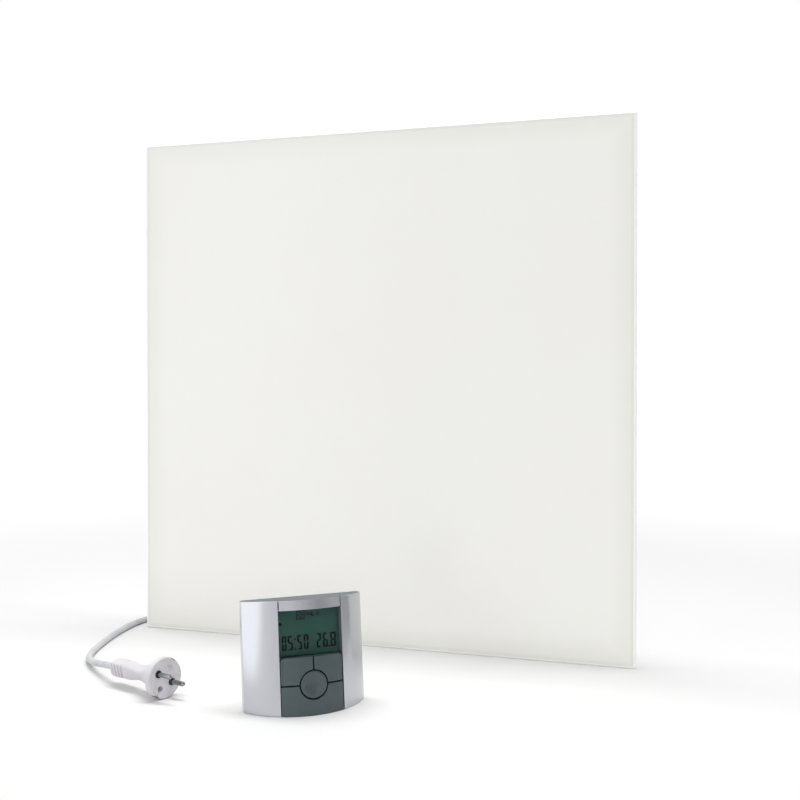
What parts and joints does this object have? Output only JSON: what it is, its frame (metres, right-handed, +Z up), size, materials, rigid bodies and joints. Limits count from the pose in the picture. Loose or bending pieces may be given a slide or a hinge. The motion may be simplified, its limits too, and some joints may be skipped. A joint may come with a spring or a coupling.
{
  "type": "infrared panel heater",
  "caption": "Frameless white glass infrared heating panel with rear wall hangers, a mains lead with a round earthed plug, and a bow-fronted wireless room thermostat.",
  "frame": {"origin": "middle of the glass pane's flat bottom edge, on the surface that everything stands on", "axes": "+Z up, -Y out of the glass's warm front, +X to the right as seen from the front"},
  "size_m": [0.6207, 0.3869, 0.6],
  "materials": {
    "white_glass": "white back-printed float glass, polished bevelled edge",
    "heating_film": "carbon heating film",
    "busbar_copper": "copper foil strip",
    "mineral_board": "pressed mineral board",
    "casing_enamel": "white powder coat, fine grain",
    "zinc_steel": "zinc-plated steel",
    "white_plastic": "moulded white plastic",
    "black_plastic": "moulded black plastic",
    "circuit_board": "green circuit board",
    "silver_case": "silver paint on moulded plastic, satin gloss",
    "key_grey": "blue-grey moulded keys, satin",
    "display_glass": "clear display window",
    "display": "liquid crystal display, dark teal",
    "battery_case": "plain steel battery can",
    "cord_grey": "light grey flexible sheath, satin",
    "plug_grey": "moulded light grey plug, satin",
    "plug_metal": "nickel-plated brass",
    "tie_black": "black hook-and-loop tie"
  },
  "bodies": {
    "root": {"glass_pane": "white_glass", "heating_film": "heating_film", "busbar_left": "busbar_copper", "busbar_right": "busbar_copper", "insulation_board": "mineral_board", "rear_casing": "casing_enamel", "hanger_1": "zinc_steel", "hanger_2": "zinc_steel", "hanger_3": "zinc_steel", "hanger_4": "zinc_steel", "hanger_rivet_1": "zinc_steel", "hanger_rivet_2": "zinc_steel", "hanger_rivet_3": "zinc_steel", "hanger_rivet_4": "zinc_steel", "hanger_rivet_5": "zinc_steel", "hanger_rivet_6": "zinc_steel", "hanger_rivet_7": "zinc_steel", "hanger_rivet_8": "zinc_steel", "junction_box": "white_plastic", "junction_box_lid": "white_plastic", "lid_screw_1": "zinc_steel", "lid_screw_2": "zinc_steel", "lid_screw_3": "zinc_steel", "lid_screw_4": "zinc_steel", "receiver_board": "circuit_board", "receiver_relay": "black_plastic", "terminal_block": "white_plastic", "thermal_cutout": "black_plastic", "cable_gland": "white_plastic", "gland_nut": "white_plastic", "cord_lead": "cord_grey", "cord_coil": "cord_grey", "coil_tie": "tie_black", "cord_run": "cord_grey", "plug_body": "plug_grey", "plug_pin_1": "plug_metal", "plug_pin_2": "plug_metal", "pin_collar_1": "black_plastic", "pin_collar_2": "black_plastic", "earth_clip_1": "plug_metal", "earth_clip_2": "plug_metal", "earth_sleeve": "plug_metal", "case_front": "silver_case", "case_back": "silver_case", "display_glass": "display_glass", "display_module": "display", "circuit_board": "circuit_board", "key_carrier": "key_grey", "battery_door": "silver_case", "lower_cover": "key_grey", "battery_1": "battery_case", "battery_2": "battery_case", "case_screw_1": "zinc_steel", "case_screw_2": "zinc_steel", "case_screw_3": "zinc_steel", "case_screw_4": "zinc_steel"},
    "left_key": {"left_key": "key_grey"},
    "right_key": {"right_key": "key_grey"},
    "ok_button": {"ok_button": "key_grey"}
  },
  "joints": [
    {"name": "left_key_press", "type": "slide", "parent": "root", "child": "left_key", "axis": [-0.6446, 0.7547, -0.1219], "range_m": [0, 0.001], "stiffness_N_per_m": 600, "springref_m": -0.0003},
    {"name": "right_key_press", "type": "slide", "parent": "root", "child": "right_key", "axis": [-0.6446, 0.7547, -0.1219], "range_m": [0, 0.001], "stiffness_N_per_m": 600, "springref_m": -0.0003},
    {"name": "ok_button_press", "type": "slide", "parent": "root", "child": "ok_button", "axis": [-0.6446, 0.7547, -0.1219], "range_m": [0, 0.001], "stiffness_N_per_m": 600, "springref_m": -0.0003}
  ]
}
